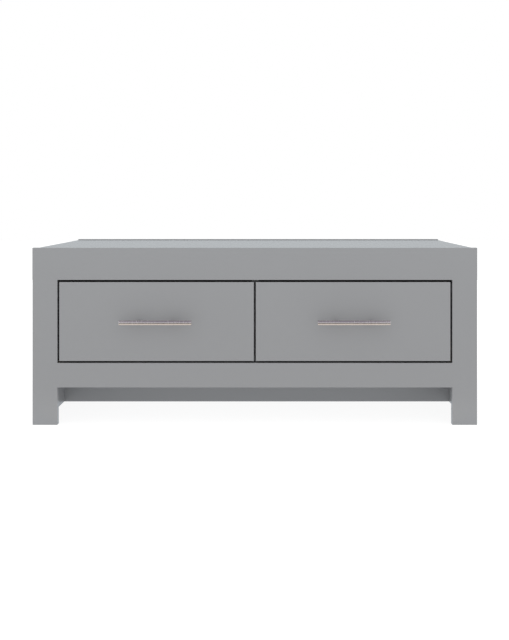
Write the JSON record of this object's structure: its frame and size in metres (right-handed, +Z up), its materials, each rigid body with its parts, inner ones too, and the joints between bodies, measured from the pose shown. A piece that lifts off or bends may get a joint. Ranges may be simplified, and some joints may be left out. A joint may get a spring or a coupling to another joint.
{
  "type": "storage coffee table",
  "caption": "Low rectangular storage coffee table: framed board case on flat legs, with flush drawers side by side on roller runners and horizontal bar handles.",
  "frame": {"origin": "centre of the table's footprint, where the underside of the centre support panel meets the floor", "axes": "+X to the right along the width as seen from the drawer side, +Y to the rear, +Z up; the drawers open towards -Y"},
  "size_m": [1.1, 0.6345, 0.4378],
  "materials": {
    "lacquer": "mid grey satin lacquer on board",
    "drawer_lining": "matt light grey foil on board",
    "hardboard": "matt grey printed hardboard",
    "raw_board": "bare sawn board",
    "runner_steel": "off-white powder coat",
    "roller_nylon": "natural white nylon",
    "handle_steel": "brushed nickel with a slight warm tint",
    "screw_zinc": "bright zinc plate"
  },
  "bodies": {
    "carcass": {"top_panel": "lacquer", "front_top_rail": "lacquer", "front_bottom_rail": "lacquer", "rear_top_rail": "lacquer", "rear_bottom_rail": "lacquer", "bottom_panel": "lacquer", "centre_divider": "lacquer", "centre_support_panel": "lacquer", "back_panel": "lacquer", "front_left_leg": "lacquer", "front_right_leg": "lacquer", "rear_left_leg": "lacquer", "rear_right_leg": "lacquer", "left_side_panel": "lacquer", "right_side_panel": "lacquer", "left_runner_spacer": "raw_board", "right_runner_spacer": "raw_board", "left_outer_cabinet_runner": "runner_steel", "left_inner_cabinet_runner": "runner_steel", "right_outer_cabinet_runner": "runner_steel", "right_inner_cabinet_runner": "runner_steel"},
    "left_drawer": {"left_drawer_front": "lacquer", "left_drawer_inner_side": "drawer_lining", "left_drawer_outer_side": "drawer_lining", "left_drawer_back": "drawer_lining", "left_drawer_bottom": "hardboard", "left_outer_drawer_runner": "runner_steel", "left_inner_drawer_runner": "runner_steel", "left_handle_bar": "handle_steel", "left_handle_inner_post": "handle_steel", "left_handle_outer_post": "handle_steel", "left_handle_inner_screw": "screw_zinc", "left_handle_outer_screw": "screw_zinc"},
    "right_drawer": {"right_drawer_front": "lacquer", "right_drawer_inner_side": "drawer_lining", "right_drawer_outer_side": "drawer_lining", "right_drawer_back": "drawer_lining", "right_drawer_bottom": "hardboard", "right_outer_drawer_runner": "runner_steel", "right_inner_drawer_runner": "runner_steel", "right_handle_bar": "handle_steel", "right_handle_inner_post": "handle_steel", "right_handle_outer_post": "handle_steel", "right_handle_inner_screw": "screw_zinc", "right_handle_outer_screw": "screw_zinc"},
    "left_outer_cabinet_wheel": {"left_outer_cabinet_roller": "roller_nylon"},
    "left_inner_cabinet_wheel": {"left_inner_cabinet_roller": "roller_nylon"},
    "right_outer_cabinet_wheel": {"right_outer_cabinet_roller": "roller_nylon"},
    "right_inner_cabinet_wheel": {"right_inner_cabinet_roller": "roller_nylon"},
    "left_outer_drawer_wheel": {"left_outer_drawer_roller": "roller_nylon"},
    "left_inner_drawer_wheel": {"left_inner_drawer_roller": "roller_nylon"},
    "right_outer_drawer_wheel": {"right_outer_drawer_roller": "roller_nylon"},
    "right_inner_drawer_wheel": {"right_inner_drawer_roller": "roller_nylon"}
  },
  "joints": [
    {"name": "left_drawer_slide", "type": "slide", "parent": "carcass", "child": "left_drawer", "axis": [0, -1, 0], "range_m": [0, 0.35]},
    {"name": "right_drawer_slide", "type": "slide", "parent": "carcass", "child": "right_drawer", "axis": [0, -1, 0], "range_m": [0, 0.35]},
    {"name": "left_outer_cabinet_roll", "type": "hinge", "parent": "carcass", "child": "left_outer_cabinet_wheel", "pos_m": [-0.4829, -0.248, 0.175], "axis": [1, 0, 0], "range_deg": [0, 2507]},
    {"name": "left_inner_cabinet_roll", "type": "hinge", "parent": "carcass", "child": "left_inner_cabinet_wheel", "pos_m": [-0.0144, -0.248, 0.175], "axis": [1, 0, 0], "range_deg": [0, 2507]},
    {"name": "right_inner_cabinet_roll", "type": "hinge", "parent": "carcass", "child": "right_inner_cabinet_wheel", "pos_m": [0.0144, -0.248, 0.175], "axis": [1, 0, 0], "range_deg": [0, 2507]},
    {"name": "right_outer_cabinet_roll", "type": "hinge", "parent": "carcass", "child": "right_outer_cabinet_wheel", "pos_m": [0.4829, -0.248, 0.175], "axis": [1, 0, 0], "range_deg": [0, 2507]},
    {"name": "left_outer_drawer_roll", "type": "hinge", "parent": "left_drawer", "child": "left_outer_drawer_wheel", "pos_m": [-0.4812, 0.2055, 0.175], "axis": [1, 0, 0], "range_deg": [0, 1824]},
    {"name": "left_inner_drawer_roll", "type": "hinge", "parent": "left_drawer", "child": "left_inner_drawer_wheel", "pos_m": [-0.0161, 0.2055, 0.175], "axis": [1, 0, 0], "range_deg": [0, 1824]},
    {"name": "right_inner_drawer_roll", "type": "hinge", "parent": "right_drawer", "child": "right_inner_drawer_wheel", "pos_m": [0.0161, 0.2055, 0.175], "axis": [1, 0, 0], "range_deg": [0, 1824]},
    {"name": "right_outer_drawer_roll", "type": "hinge", "parent": "right_drawer", "child": "right_outer_drawer_wheel", "pos_m": [0.4812, 0.2055, 0.175], "axis": [1, 0, 0], "range_deg": [0, 1824]}
  ],
  "couplings": [
    {"joint": "left_outer_cabinet_roll", "follows": "left_drawer_slide", "rad_per_m": 125},
    {"joint": "left_inner_cabinet_roll", "follows": "left_drawer_slide", "rad_per_m": 125},
    {"joint": "right_inner_cabinet_roll", "follows": "right_drawer_slide", "rad_per_m": 125},
    {"joint": "right_outer_cabinet_roll", "follows": "right_drawer_slide", "rad_per_m": 125},
    {"joint": "left_outer_drawer_roll", "follows": "left_drawer_slide", "rad_per_m": 90.909},
    {"joint": "left_inner_drawer_roll", "follows": "left_drawer_slide", "rad_per_m": 90.909},
    {"joint": "right_inner_drawer_roll", "follows": "right_drawer_slide", "rad_per_m": 90.909},
    {"joint": "right_outer_drawer_roll", "follows": "right_drawer_slide", "rad_per_m": 90.909}
  ]
}
